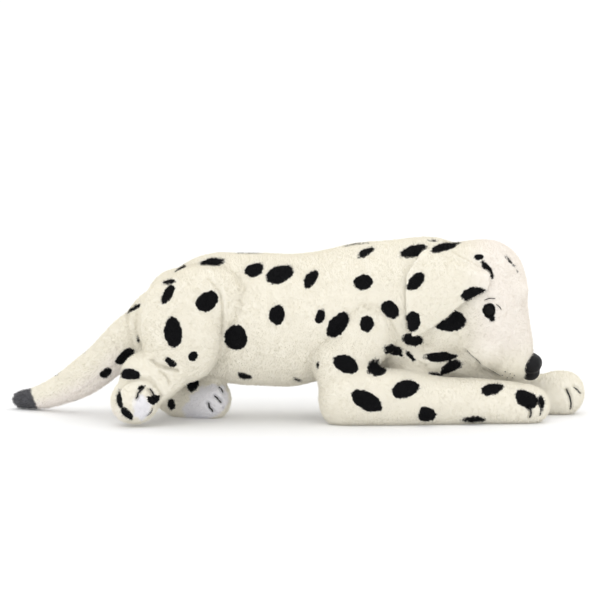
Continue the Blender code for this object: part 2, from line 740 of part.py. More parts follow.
def build():
    clear_scene()
    torso = body_empty("torso", Vector((0, 0, 0)))
    neck = body_empty("neck", NECK)
    head = body_empty("head", NECK)
    ear_root_right = Vector((EAR_FRONT.x, SPINE_Y - EAR_FRONT.y, EAR_FRONT.z))
    ear_root_left = Vector((EAR_FRONT.x, SPINE_Y + EAR_FRONT.y, EAR_FRONT.z))
    tail_socket = cutter_ball("tail_socket", TAIL_ROOT, TAIL_ROOT_RADIUS + SOCKET_PLAY)
    neck_socket = cutter_ball("neck_socket", NECK, NECK_RADIUS + SOCKET_PLAY)
    make_torso(torso, tail_socket)
    make_neck(neck)
    make_head(head, neck_socket)
    make_ear("right", -1, body_empty("ear_right", ear_root_right))
    make_ear("left", 1, body_empty("ear_left", ear_root_left))
    make_tail_root(body_empty("tail_root", TAIL_ROOT))
    make_tail(body_empty("tail", TAIL_ROOT))
    make_foreleg("right", FORELEG_RIGHT_SECTIONS, FORELEG_TOP_SEAM, body_empty("foreleg_right", ELBOW_RIGHT))
    make_foreleg("left", FORELEG_LEFT_SECTIONS, -FORELEG_TOP_SEAM, body_empty("foreleg_left", ELBOW_LEFT))
    hind_right = body_empty("hindleg_right", HIP_RIGHT)
    hind_left = body_empty("hindleg_left", HIP_LEFT)
    make_thigh("right", -1, hind_right)
    make_thigh("left", 1, hind_left)
    make_lower_leg("right", LEG_RIGHT_SECTIONS, hind_right)
    make_lower_leg("left", LEG_LEFT_SECTIONS, hind_left)


build()
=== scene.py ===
"""Looks of the plush dog: one soft spotted hide, in pieces that meet at the joints, over the CAD frame.

Lengths in the tables are millimetres in the dog's own frame: x along the dog, y from its mid plane
(minus is its right side, towards the camera) and z up from the floor.
"""
import json
import math
import random

import bmesh
import bpy
import numpy as np
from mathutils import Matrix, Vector, noise
from mathutils.bvhtree import BVHTree
from mathutils.kdtree import KDTree


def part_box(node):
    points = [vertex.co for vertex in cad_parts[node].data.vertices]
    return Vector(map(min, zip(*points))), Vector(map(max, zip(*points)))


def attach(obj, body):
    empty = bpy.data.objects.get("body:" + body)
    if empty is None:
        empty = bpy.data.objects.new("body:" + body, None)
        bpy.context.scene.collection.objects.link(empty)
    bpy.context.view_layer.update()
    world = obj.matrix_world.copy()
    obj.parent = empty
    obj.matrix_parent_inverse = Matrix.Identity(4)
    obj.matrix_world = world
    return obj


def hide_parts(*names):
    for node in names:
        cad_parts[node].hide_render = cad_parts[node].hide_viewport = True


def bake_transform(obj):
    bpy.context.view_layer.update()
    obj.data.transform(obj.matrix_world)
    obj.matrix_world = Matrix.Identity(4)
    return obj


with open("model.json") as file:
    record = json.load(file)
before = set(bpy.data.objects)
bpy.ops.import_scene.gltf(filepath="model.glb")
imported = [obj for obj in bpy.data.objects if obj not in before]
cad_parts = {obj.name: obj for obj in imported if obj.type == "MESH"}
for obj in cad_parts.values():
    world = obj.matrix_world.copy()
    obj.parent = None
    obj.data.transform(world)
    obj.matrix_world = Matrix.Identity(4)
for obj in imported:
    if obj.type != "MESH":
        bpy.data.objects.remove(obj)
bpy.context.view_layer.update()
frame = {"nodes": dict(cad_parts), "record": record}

MM = 0.001
LOW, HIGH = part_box("torso_filling")
MID = (LOW.y + HIGH.y) / 2                  # the dog's mid plane
JOINTS = {joint["name"]: joint for joint in frame["record"]["behaviour"]["joints"]}
NECK = Vector(JOINTS["neck_turn"]["pos_m"])
NECK_WAY = Vector((1, 0, 0.1)).normalized()
TAIL_ROOT = Vector(JOINTS["tail_wag"]["pos_m"])
TAIL_WAY = Vector((-0.72, 0.2, -0.66)).normalized()

VOXEL = 4.5                                 # grid that merges the soft forms
SMOOTH_PASSES = 14
SEEN_LENGTH = 0.84                          # width of the picture at the dog's mid plane, in metres
CAMERA_REACH = 3.6
CAMERA_RISE = math.radians(5)
PICTURE_CENTRE = 0.166                      # height of the picture's centre on the mid plane

# Soft forms, as sections: x, y, z, half width, half height
TORSO = [
    (-247, 0, 122, 30, 27),
    (-228, 0, 127, 46, 40),
    (-200, 0, 132, 57, 54),
    (-150, 0, 143, 66, 79),
    (-112, 0, 143, 72, 88),
    (-85, 0, 140, 77, 90.5),
    (-50, 0, 139, 83, 91.5),
    (0, 0, 138.5, 85, 90.5),
    (28, 0, 144, 87, 89),
    (55, 0, 150, 87, 89.5),
    (92, 0, 156, 84, 90),
    (130, 0, 164, 76, 85),
    (170, 0, 172, 68, 80),
    (205, 0, 177, 61, 75),
    (240, 0, 180, 54, 68),
]
TAIL = [
    (-215, 0, 126, 30, 30),
    (-236, 2, 115, 28, 30),
    (-253, 8, 100, 27, 29),
    (-272, 19, 81, 26, 28),
    (-304, 38, 55, 24, 26),
    (-334, 57, 36, 21, 22),
    (-368, 78, 20.5, 17, 17.5),
    (-388, 90, 15.5, 14.5, 14.5),
    (-414, 102, 12.5, 12, 12),
]
FORELEG_RIGHT = [
    (26, -62, 44, 27, 34),
    (50, -66, 40, 32, 41),
    (90, -68, 38, 34, 41),
    (140, -65, 35, 34, 38),
    (180, -60, 31.5, 33, 34.5),
    (240, -54, 29, 31.5, 31.5),
    (300, -48, 25.5, 30.5, 28.5),
    (328, -46, 22.5, 29.5, 25.5),
    (347, -45, 21, 28, 22),
]
FORELEG_LEFT = [
    (80, 63, 42, 27, 34),
    (106, 66, 38, 32, 40),
    (150, 65, 34, 34, 37),
    (200, 60, 30.5, 33, 33),
    (260, 54, 27.5, 30.5, 30),
    (310, 49, 25.5, 29.5, 28.5),
    (340, 47, 25.5, 29.5, 28.5),
    (372, 46, 28.5, 32, 31.5),
    (405, 45, 25, 30, 27),
]
LOWER_LEG_RIGHT = [
    (-198, -34, 68, 26, 26),
    (-206, -54, 62, 29, 29),
    (-216, -73, 50, 30, 30),
    (-226, -94, 35, 33, 31),
    (-229, -118, 33, 33.5, 30),
]
LOWER_LEG_LEFT = [
    (-212, 44, 52, 24, 24),
    (-192, 32, 39, 27, 27),
    (-165, 18, 27, 29, 30),
    (-135, 6, 26, 30, 29),
    (-100, -8, 25, 29, 28),
]
THIGH = ((-165, 132), (54, 73), math.radians(14))   # centre, half sizes, tilt forward at the bottom
THIGH_REACH = (40, 103)                     # from the mid plane to the thigh's near and far end
HAUNCH = [(-160, 66, 82, 20, 20), (-184, 84, 60, 19, 19), (-206, 98, 46, 20, 20)]

# Balls that fill out the forms: centre (x, y, z) and radii
CHEST_BALLS = [
    ((128, 0, 118), (52, 52, 48)),
    ((196, 0, 128), (52, 52, 42)),
    ((158, 0, 84), (58, 46, 42)),
]
HIP_BALL = ((-136, 46, 168), (60, 43, 48))
HOCK_BALL = ((-209, 74, 67), (38, 33, 34))
RUMP_BALL = ((-226, 0, 124), (24, 30, 32))
SHOULDER_BALL = ((78, 58, 128), (50, 31, 72))
UPPER_ARM_BALL = ((58, 64, 78), (37, 27, 50))
SHOULDER_LEAN = 18                          # of the shoulder ball, forward at the top, in degrees
LEFT_SHIFT = 54                             # the left shoulder lies this much further forward

SKULL = Vector((245, 0, 178))
HEAD_PITCH = math.radians(52)
MUZZLE_WAY = Vector((math.cos(HEAD_PITCH), 0, -math.sin(HEAD_PITCH)))
BROW_WAY = Vector((math.sin(HEAD_PITCH), 0, math.cos(HEAD_PITCH)))
# Along the head from the skull's centre, height of brow and of throat, half width
HEAD = [
    (-74, 26, -8, 42),
    (-62, 40, -20, 49),
    (-33, 68, -48, 56),
    (0, 77, -62, 60),
    (32, 65, -66, 58),
    (62, 43, -63, 49),
    (86, 30, -58, 39),
    (104, 20, -53, 33),
    (118, 10, -46, 28),
    (131, -2, -37, 22),
    (141, -12, -28, 15),
]
JAW = [
    (165, 0, 92, 40, 34),
    (205, 0, 84, 30, 26),
    (240, 0, 72, 22, 19),
    (270, 0, 61, 16, 13),
    (290, 0, 56, 11, 8),
]
EAR_REAR = Vector((172, 62, 246))
EAR_FRONT = Vector((263, 62, 207))
EAR_EDGE = [
    (146, 78, 210),
    (143, 84, 165),
    (155, 88, 120),
    (188, 88, 136),
    (224, 83, 166),
    (262, 74, 187),
]

IVORY = (0.93, 0.895, 0.795)
PINKISH = (0.98, 0.925, 0.895)
BLUISH = (0.92, 0.915, 0.96)
GREY = (0.10, 0.10, 0.11)
PILE_CHILDREN = 6
EAR_ROOT = 0.222                            # height above which a spot runs on from the ear to the head
TAIL_CUT = 28                               # from the tail's joint to the end of its root
SPOT_SPACING = 58                           # between the centres of the spots on the far side
INK = (0.006, 0.006, 0.007)
THREAD_BLACK = (0.012, 0.012, 0.013)
FLOOR_GAP = 0.4                             # between the lowest hide and the floor

# Printed spots on the side that faces the camera: across, up, long, short, tilt in degrees
SPOTS = [
    (-339, 65, 8, 4, 35), (-231, 155, 28, 8, 30), (-183, 192, 20, 6, 10), (-185, 174, 29, 14, 58),
    (-123, 219, 34, 15, 10), (-71, 230, 35, 8, 0), (-64, 209, 27, 18, 25), (-28, 203, 39, 24, 20),
    (15, 196, 27, 15, 50), (-130, 164, 34, 25, 35), (-178, 120, 42, 24, 95), (-182, 79, 21, 10, -45),
    (-150, 87, 14, 14, 0), (-90, 113, 34, 32, 90), (-32, 145, 28, 22, 90), (28, 143, 20, 13, 70),
    (53, 131, 41, 24, 52), (76, 243, 34, 6, 12), (92, 233, 25, 11, 25), (89, 191, 27, 22, 15),
    (94, 133, 24, 20, 90), (126, 153, 28, 22, -45), (158, 235, 42, 15, 15), (128, 97, 25, 13, -5),
    (64, 76, 36, 24, -25), (108, 67, 29, 18, 0), (148, 41, 38, 25, 15), (94, 23, 46, 24, -25),
    (178, 4, 25, 20, 0), (244, -2, 31, 8, 0), (270, 41, 31, 15, 10), (318, 27, 35, 22, -30),
    (339, 20, 25, 8, 90), (-3, 54, 13, 6, -20), (22, 48, 14, 7, 0), (-77, 59, 22, 10, -15),
    (25, 72, 11, 4, 90), (162, 192, 29, 17, 45), (203, 241, 42, 13, 15), (185, 249, 11, 4, 0),
    (249, 226, 13, 8, 0), (262, 209, 28, 10, -60), (243, 174, 34, 17, 15), (207, 138, 43, 32, 0),
    (158, 135, 28, 21, 90), (158, 110, 28, 18, -10), (154, 88, 20, 6, -50), (196, 86, 43, 14, 5),
    (211, 71, 36, 14, 25), (192, 61, 21, 6, 0), (292, 222, 25, 4, -50), (-254, 27, 30, 8, 98),
    (-244, 6, 22, 9, -48), (-210, 24, 28, 13, 20), (-223, 41, 12, 6, 30), (-241, 62, 27, 15, 0),
    (-272, 64, 18, 13, 45), (-244, 87, 34, 18, 42), (-226, 112, 11, 4, 90), (-151, 48, 21, 17, 90),
    (-181, 19, 17, 10, 90), (-133, 6, 28, 4, 0),
]


def place(x, y, z):
    return Vector((x * MM, MID + y * MM, z * MM))


# ---------------------------------------------------------------- forms

def smooth_rows(rows, spacing):
    """Points on a smooth curve through the rows, about one spacing apart."""
    rows = np.array(rows, float)
    marks = np.r_[0, np.cumsum(np.linalg.norm(np.diff(rows[:, :3], axis=0), axis=1))]
    slopes = np.gradient(rows, marks, axis=0)
    where = np.linspace(0, marks[-1], max(int(marks[-1] / spacing), 8))
    where[0], where[-1] = 0.02 * spacing, marks[-1] - 0.02 * spacing
    k = np.clip(np.searchsorted(marks, where) - 1, 0, len(rows) - 2)
    span = (marks[k + 1] - marks[k])[:, None]
    t = (where[:, None] - marks[k][:, None]) / span
    start, end, low, high = rows[k], rows[k + 1], slopes[k] * span, slopes[k + 1] * span
    bent = ((2 * start - 2 * end + low + high) * t + (3 * end - 3 * start - 2 * low - high)) * t + low
    return where, bent * t + start, marks[-1]


def tube(sections, start, end, way=None, up=(0, 0, 1), around=40, spacing=4.0):
    """A closed soft tube of elliptical sections with domed ends, as points and faces."""
    where, rows, length = smooth_rows(sections, spacing)
    centres = rows[:, :3]
    ways = np.gradient(centres, axis=0) if way is None else np.tile(np.array(way, float), (len(rows), 1))
    ways /= np.linalg.norm(ways, axis=1)[:, None]
    side = np.cross(ways, np.array(up, float))
    side /= np.linalg.norm(side, axis=1)[:, None]
    top = np.cross(side, ways)
    share = np.ones(len(rows))
    for depth, away in ((start, where), (end, length - where)):
        if depth:
            short = 1 - np.clip(away / depth, 0, 1)
            share *= np.sqrt(np.clip(1 - short ** 2, 0, 1))
    turn = np.linspace(0, 2 * math.pi, around, endpoint=False)
    across = (rows[:, 3] * share)[:, None, None] * side[:, None, :] * np.sin(turn)[None, :, None]
    upward = (rows[:, 4] * share)[:, None, None] * top[:, None, :] * np.cos(turn)[None, :, None]
    points = (centres[:, None, :] + across + upward).reshape(-1, 3)
    return points, ring_faces(len(rows), around)


def ring_faces(count, around):
    faces = [tuple(range(around)), tuple(reversed(range((count - 1) * around, count * around)))]
    for i in range(count - 1):
        for j in range(around):
            k = (j + 1) % around
            faces.append((i * around + k, i * around + j, (i + 1) * around + j, (i + 1) * around + k))
    return faces


def ball(centre, radii, lean=0.0):
    """A closed ellipsoid; lean tips its top towards +x, in degrees."""
    rows = [(0, 0, step * radii[2], radii[0], radii[1]) for step in (-1, -0.5, 0, 0.5, 1)]
    points, faces = tube(rows, radii[2], radii[2], way=(0, 0, 1), up=(0, 1, 0), around=28, spacing=3.0)
    a = math.radians(lean)
    x = points[:, 0] * math.cos(a) + points[:, 2] * math.sin(a)
    z = points[:, 2] * math.cos(a) - points[:, 0] * math.sin(a)
    return np.c_[x, points[:, 1], z] + np.array(centre, float), faces


def head_sections():
    rows = []
    for along, brow, throat, half_width in HEAD:
        centre = SKULL + MUZZLE_WAY * along + BROW_WAY * (brow + throat) / 2
        rows.append((*centre, half_width, (brow - throat) / 2))
    return rows


def head_ball(along, lift, y, radii, lean=0.0):
    centre = SKULL + MUZZLE_WAY * along + BROW_WAY * lift
    return ball((centre.x, y, centre.z), radii, lean)


def thigh(side):
    (x, z), (wide, tall), tilt = THIGH
    near, far = THIGH_REACH
    rows = [(x, side * y, z, wide, tall) for y in (near, (near + far) / 2, far)]
    return tube(rows, 12, 30, up=(-math.sin(tilt), 0, math.cos(tilt)), around=48)


def torso_forms():
    return [
        tube(TORSO, 26, 50, way=(1, 0, 0), around=56),
        *(ball(centre, radii) for centre, radii in CHEST_BALLS),
    ]


def head_forms():
    forms = [
        tube(head_sections(), 38, 22, way=MUZZLE_WAY, around=56),
        tube(JAW, 30, 14),
    ]
    for side in (-1, 1):
        forms.append(head_ball(66, -38, side * 26, (32, 25, 30)))
        forms.append(head_ball(102, -24, side * 16, (25, 19, 24)))
        forms.append(head_ball(26, 40, side * 28, (24, 20, 18)))
    return forms


def side_ball(place_and_radii, side, shift=0, lean=0.0):
    (x, y, z), radii = place_and_radii
    return ball((x + shift, side * y, z), radii, lean)


def foreleg_forms(sections, side, shift):
    return [
        tube(sections, 27, 24),
        side_ball(SHOULDER_BALL, side, shift, SHOULDER_LEAN),
        side_ball(UPPER_ARM_BALL, side, shift),
    ]


def hindleg_forms(sections, side):
    return [
        thigh(side),
        tube(sections, 22, 24),
        side_ball(HIP_BALL, side),
        side_ball(HOCK_BALL, side),
        tube([(x, side * y, z, wide, tall) for x, y, z, wide, tall in HAUNCH], 18, 18),
    ]


# ---------------------------------------------------------------- meshes

def new_piece(name, points, faces):
    mesh = bpy.data.meshes.new(name)
    mesh.from_pydata([tuple(p) for p in points], [], faces)
    mesh.update()
    obj = bpy.data.objects.new(name, mesh)
    bpy.context.scene.collection.objects.link(obj)
    return obj


def apply_modifiers(obj):
    graph = bpy.context.evaluated_depsgraph_get()
    graph.update()
    mesh = bpy.data.meshes.new_from_object(obj.evaluated_get(graph))
    obj.modifiers.clear()
    old = obj.data
    obj.data = mesh
    bpy.data.meshes.remove(old)
    mesh.name = obj.name
    return obj


def fuse(name, forms, voxel=VOXEL, passes=SMOOTH_PASSES):
    """Merges closed forms in millimetres into one smooth closed mesh in metres."""
    points, faces = [], []
    for more_points, more_faces in forms:
        shift = len(points)
        points += [place(*p) for p in more_points]
        faces += [tuple(shift + i for i in face) for face in more_faces]
    obj = new_piece(name, points, faces)
    remesh = obj.modifiers.new("Merge", "REMESH")
    remesh.mode = "VOXEL"
    remesh.voxel_size = voxel * MM
    remesh.use_smooth_shade = True
    smooth = obj.modifiers.new("Smooth", "SMOOTH")
    smooth.factor = 0.5
    smooth.iterations = passes
    return apply_modifiers(obj)


def coords(mesh):
    out = np.empty(len(mesh.vertices) * 3)
    mesh.vertices.foreach_get("co", out)
    return out.reshape(-1, 3)


def set_coords(mesh, points):
    mesh.vertices.foreach_set("co", points.ravel())
    mesh.update()


def normals(mesh):
    out = np.empty(len(mesh.vertices) * 3, np.float32)
    mesh.vertex_normals.foreach_get("vector", out)
    return out.reshape(-1, 3).astype(float)


def tree_of(objects):
    points, faces = [], []
    for obj in objects:
        shift = len(points)
        points += [v.co.copy() for v in obj.data.vertices]
        faces += [tuple(shift + i for i in p.vertices) for p in obj.data.polygons]
    return BVHTree.FromPolygons(points, faces)


def refine(obj):
    subdivide = obj.modifiers.new("Refine", "SUBSURF")
    subdivide.levels = 1
    subdivide.render_levels = 1
    return apply_modifiers(obj)


def keep_added(obj, base_tree, reach=0.6, rings=3):
    """Keeps the part of a merged form that stands off the base form, and a few rings of faces round it."""
    mesh = bmesh.new()
    mesh.from_mesh(obj.data)
    added = {v for v in mesh.verts if base_tree.find_nearest(v.co)[3] > reach * MM}
    for _ in range(rings):
        added |= {e.other_vert(v) for v in added for e in v.link_edges}
    drop = [f for f in mesh.faces if not all(v in added for v in f.verts)]
    bmesh.ops.delete(mesh, geom=drop, context="FACES")
    islands = face_islands(mesh)
    islands.sort(key=len, reverse=True)
    stray = [f for island in islands[1:] for f in island]
    bmesh.ops.delete(mesh, geom=stray, context="FACES")
    mesh.to_mesh(obj.data)
    mesh.free()
    return obj


def face_islands(mesh):
    left = set(mesh.faces)
    islands = []
    while left:
        island, edge = [], [left.pop()]
        while edge:
            face = edge.pop()
            island.append(face)
            for loop_edge in face.edges:
                for other in loop_edge.link_faces:
                    if other in left:
                        left.remove(other)
                        edge.append(other)
        islands.append(island)
    return islands


def tuck_and_cap(obj, depth=1.6):
    """Sinks the open rim of a piece under its neighbour and closes the piece behind it."""
    mesh = bmesh.new()
    mesh.from_mesh(obj.data)
    rim = {v for v in mesh.verts if v.is_boundary}
    second = {e.other_vert(v) for v in rim for e in v.link_edges} - rim
    moves = [(v, v.normal * depth * MM) for v in rim] + [(v, v.normal * depth * 0.4 * MM) for v in second]
    for vert, move in moves:
        vert.co -= move
    cap_holes(mesh)
    mesh.to_mesh(obj.data)
    mesh.free()
    return obj


def cap_holes(mesh):
    edges = [e for e in mesh.edges if e.is_boundary]
    for edge in edges:
        edge.smooth = False
    filled = bmesh.ops.holes_fill(mesh, edges=edges, sides=0)["faces"]
    bmesh.ops.triangulate(mesh, faces=filled)


def cut(obj, point, way, cap=True):
    """Keeps the side of a plane that way points to."""
    mesh = bmesh.new()
    mesh.from_mesh(obj.data)
    everything = mesh.verts[:] + mesh.edges[:] + mesh.faces[:]
    bmesh.ops.bisect_plane(mesh, geom=everything, plane_co=point, plane_no=way, clear_inner=True)
    if cap:
        cap_holes(mesh)
    mesh.to_mesh(obj.data)
    mesh.free()
    return obj


def copy_of(obj, name):
    twin = bpy.data.objects.new(name, obj.data.copy())
    bpy.context.scene.collection.objects.link(twin)
    return twin


# ---------------------------------------------------------------- spots and colours

def camera_place():
    back = Vector((0, -math.cos(CAMERA_RISE), math.sin(CAMERA_RISE)))
    return Vector((0, MID, PICTURE_CENTRE)) + back * CAMERA_REACH


def seen_point(tree, across, up):
    """The place and outward way of the surface seen at a point of the dog's mid plane."""
    eye = camera_place()
    way = (Vector((across * MM, MID, up * MM)) - eye).normalized()
    hit, normal, _, _ = tree.ray_cast(eye, way)
    return hit, normal, way


def spot_basis(hit, normal, way, long, short, tilt):
    """Centre and inverse basis that measure a point in half lengths of a spot."""
    turn = math.radians(tilt)
    flat_long = Vector((math.cos(turn), 0, math.sin(turn))) * long / 2
    flat_short = Vector((-math.sin(turn), 0, math.cos(turn))) * short / 2
    axes = []
    for flat in (flat_long, flat_short):
        slope = normal.dot(flat) / min(normal.dot(way), -0.001) * -1
        limit = 1.2 * flat.length
        axes.append(flat + way * max(min(slope, limit), -limit))
    axes.append(normal * (0.5 * long + 8))
    basis = np.array([axis * MM for axis in axes]).T
    return np.array(hit), np.linalg.inv(basis), short / 2


def seen_spots(tree, rows):
    found = []
    for across, up, long, short, tilt in rows:
        hit, normal, way = seen_point(tree, across, up)
        if hit is not None:
            found.append(spot_basis(hit, normal, way, long, short, tilt))
    return found


def hidden_spots(tree, pieces, seen):
    """Scattered spots wherever the camera doesn't see the hide, clear of the face and the tail's tip."""
    dice = random.Random(7)
    eye = camera_place()
    centres = [Vector(spot[0]) for spot in seen]
    found = []
    for name, piece in pieces.items():
        verts = list(piece.data.vertices)
        for _ in range(900):
            vert = dice.choice(verts)
            place_here, normal = vert.co.copy(), vert.normal.copy()
            long = dice.uniform(19, 38)
            if name.startswith("ear") or "leg" in name:
                long *= 0.8
            turn = dice.uniform(0, math.pi)
            if not spot_fits(tree, eye, centres, place_here, normal, long):
                continue
            first = normal.orthogonal().normalized()
            second = normal.cross(first)
            along = first * math.cos(turn) + second * math.sin(turn)
            across = normal.cross(along)
            short = long * dice.uniform(0.5, 0.85)
            axes = [along * long / 2, across * short / 2, normal * (0.5 * long + 8)]
            basis = np.array([tuple(axis * MM) for axis in axes]).T
            found.append((np.array(place_here), np.linalg.inv(basis), short / 2))
            centres.append(place_here)
    return found


def spot_fits(tree, eye, centres, place_here, normal, long):
    on_face = place_here.x > 0.25 and place_here.z < 0.235 and abs(place_here.y - MID) < 0.06
    on_tip = place_here.x < -0.35
    if on_face or on_tip or place_here.z < 0.012:
        return False
    if any((place_here - centre).length < (SPOT_SPACING / 2 + long / 2) * MM for centre in centres):
        return False
    to_eye = (eye - place_here).normalized()
    if normal.dot(to_eye) < -0.25:
        return True
    start = place_here + normal * 2 * MM
    hidden = tree.ray_cast(start, to_eye)[0] is not None
    return hidden and normal.dot(to_eye) < 0.1


def mirror_spot(spot):
    centre, inverse, half_short = spot
    flip = np.diag([1.0, -1.0, 1.0])
    return np.array([centre[0], 2 * MID - centre[1], centre[2]]), inverse @ flip, half_short


def spot_field(points, spots):
    """Distance outside the nearest spot's edge in millimetres, negative inside."""
    field = np.full(len(points), 40.0)
    for centre, inverse, half_short in spots:
        near = np.linalg.norm(points - centre, axis=1) < 0.06
        local = (points[near] - centre) @ inverse.T
        reach = np.sqrt((local ** 2).sum(1))
        field[near] = np.minimum(field[near], (reach - 1) * half_short)
    return field


def paint(obj, spots, soles):
    mesh = obj.data
    points = coords(mesh)
    ways = normals(mesh)
    values = spot_field(points, spots)
    uneven_edge = np.array([noise.noise(Vector(p) / (7 * MM)) for p in points]) * 4
    on_sole = np.clip(-(spot_field(points, soles) + uneven_edge) / 4 + 0.5, 0, 1)
    values = np.where(on_sole > 0.5, np.maximum(values, 6), values)
    colours = np.tile(np.array(IVORY), (len(points), 1))
    blend_in(colours, PINKISH, 0.55 * fade(points[:, 0], 0.215, 0.27) * fade(points[:, 2], 0.07, 0.12))
    # Painted shade: the hide that faces down under the tail is tinted pinkish, the warm tone of the shade
    # there.
    painted_shade_under_tail = fade(-points[:, 0], 0.235, 0.26) * np.clip(-ways[:, 2] * 1.6, 0, 1)
    blend_in(colours, PINKISH, 0.7 * painted_shade_under_tail)
    blend_in(colours, BLUISH, on_sole * 0.85)
    if "tail" in obj.name:
        ragged = np.array([noise.noise(Vector(p) / (5 * MM)) for p in points]) * 3.5 * MM
        along = -points[:, 0] - TIP_LEAN * points[:, 2] + ragged
        tip = fade(along, TIP_START * MM, (TIP_START + 2) * MM)
        blend_in(colours, GREY, tip)
    carry(mesh, "spot_and_red", values, colours[:, 0])
    carry(mesh, "green_and_blue", colours[:, 1], colours[:, 2])


def carry(mesh, name, first, second):
    """Stores two values of every vertex as a map, which both the skin and its pile can read."""
    corners = np.empty(len(mesh.loops), np.int64)
    mesh.loops.foreach_get("vertex_index", corners)
    layer = mesh.uv_layers.new(name=name)
    layer.uv.foreach_set("vector", np.c_[first, second][corners].astype(np.float32).ravel())


def fade(values, low, high):
    share = np.clip((values - low) / (high - low), 0, 1)
    return share * share * (3 - 2 * share)


def blend_in(colours, colour, share):
    colours += (np.array(colour) - colours) * share[:, None]


def uneven(obj):
    """Uneven stuffing and clumped pile, by the same noise for every piece, so that they match."""
    mesh = obj.data
    where = coords(mesh)
    out = normals(mesh)
    for height, scale in ((1.5, 55), (0.24, 6)):
        shift = np.array([noise.noise(Vector(p) / (scale * MM)) for p in where])
        where = where + out * (shift * height * MM)[:, None]
    where[:, 2] = np.maximum(where[:, 2], FLOOR_GAP * MM)
    set_coords(mesh, where)


# ---------------------------------------------------------------- materials

def new_material(name):
    finish = bpy.data.materials.new(name)
    finish.use_nodes = True
    tree = finish.node_tree
    shader = tree.nodes["Principled BSDF"]
    return finish, tree, shader


def node(tree, kind, **values):
    made = tree.nodes.new(kind)
    for key, value in values.items():
        setattr(made, key, value)
    return made


def plush_material():
    finish, tree, shader = new_material("printed_plush")
    link = tree.links.new
    first = node(tree, "ShaderNodeSeparateXYZ")
    second = node(tree, "ShaderNodeSeparateXYZ")
    link(node(tree, "ShaderNodeUVMap", uv_map="spot_and_red").outputs["UV"], first.inputs[0])
    link(node(tree, "ShaderNodeUVMap", uv_map="green_and_blue").outputs["UV"], second.inputs[0])
    pile = node(tree, "ShaderNodeCombineColor")
    link(first.outputs["Y"], pile.inputs["Red"])
    link(second.outputs["X"], pile.inputs["Green"])
    link(second.outputs["Y"], pile.inputs["Blue"])
    where = node(tree, "ShaderNodeTexCoord")
    ragged = node(tree, "ShaderNodeTexNoise")
    ragged.inputs["Scale"].default_value = 260
    ragged.inputs["Detail"].default_value = 3
    link(where.outputs["Object"], ragged.inputs["Vector"])
    lumps = node(tree, "ShaderNodeTexNoise")
    lumps.inputs["Scale"].default_value = 75
    link(where.outputs["Object"], lumps.inputs["Vector"])
    wander = node(tree, "ShaderNodeMath", operation="MULTIPLY_ADD")
    wander.inputs[1].default_value = 4.0
    link(ragged.outputs["Fac"], wander.inputs[0])
    link(first.outputs["X"], wander.inputs[2])
    drift = node(tree, "ShaderNodeMath", operation="MULTIPLY_ADD")
    drift.inputs[1].default_value = 5.0
    link(lumps.outputs["Fac"], drift.inputs[0])
    link(wander.outputs[0], drift.inputs[2])
    edge = node(tree, "ShaderNodeMapRange")
    edge.inputs["From Min"].default_value = 3.9
    edge.inputs["From Max"].default_value = 5.1
    link(drift.outputs[0], edge.inputs["Value"])
    mix = node(tree, "ShaderNodeMix", data_type="RGBA")
    mix.inputs["A"].default_value = (*INK, 1)
    link(edge.outputs["Result"], mix.inputs["Factor"])
    link(pile.outputs["Color"], mix.inputs["B"])
    link(mix.outputs["Result"], shader.inputs["Base Color"])
    shader.inputs["Roughness"].default_value = 0.95
    gleam = node(tree, "ShaderNodeMapRange")
    gleam.inputs["To Min"].default_value = 0.03
    gleam.inputs["To Max"].default_value = 0.3
    link(edge.outputs["Result"], gleam.inputs["Value"])
    link(gleam.outputs["Result"], shader.inputs["Sheen Weight"])
    shader.inputs["Specular IOR Level"].default_value = 0.15
    shader.inputs["Sheen Roughness"].default_value = 0.5
    fibres = node(tree, "ShaderNodeTexNoise")
    fibres.inputs["Scale"].default_value = 700
    fibres.inputs["Detail"].default_value = 2
    link(where.outputs["Object"], fibres.inputs["Vector"])
    bump = node(tree, "ShaderNodeBump")
    bump.inputs["Strength"].default_value = 0.5
    bump.inputs["Distance"].default_value = 0.001
    link(fibres.outputs["Fac"], bump.inputs["Height"])
    link(bump.outputs["Normal"], shader.inputs["Normal"])
    return finish


def moulded_material(name, colour, rough_low, rough_high, grain, shine=0.5):
    """Moulded plastic: a fine grain that varies how rough it looks and lifts the surface a little."""
    finish, tree, shader = new_material(name)
    shader.inputs["Specular IOR Level"].default_value = shine
    shader.inputs["Base Color"].default_value = (*colour, 1)
    where = node(tree, "ShaderNodeTexCoord")
    speckle = node(tree, "ShaderNodeTexNoise")
    speckle.inputs["Scale"].default_value = grain
    speckle.inputs["Detail"].default_value = 3
    tree.links.new(where.outputs["Object"], speckle.inputs["Vector"])
    worn = node(tree, "ShaderNodeMapRange")
    worn.inputs["To Min"].default_value = rough_low
    worn.inputs["To Max"].default_value = rough_high
    tree.links.new(speckle.outputs["Fac"], worn.inputs["Value"])
    tree.links.new(worn.outputs["Result"], shader.inputs["Roughness"])
    bump = node(tree, "ShaderNodeBump")
    bump.inputs["Strength"].default_value = 0.35
    bump.inputs["Distance"].default_value = 0.0004
    tree.links.new(speckle.outputs["Fac"], bump.inputs["Height"])
    tree.links.new(bump.outputs["Normal"], shader.inputs["Normal"])
    return finish


# ---------------------------------------------------------------- sewn details

def on_surface(tree, path, lift=0.0):
    """Places on the seen surface under a path of (across, up) points, a little off it."""
    places = []
    for across, up in path:
        hit, normal, _ = seen_point(tree, across, up)
        if hit is not None:
            places.append(hit + normal * lift * MM)
    return places


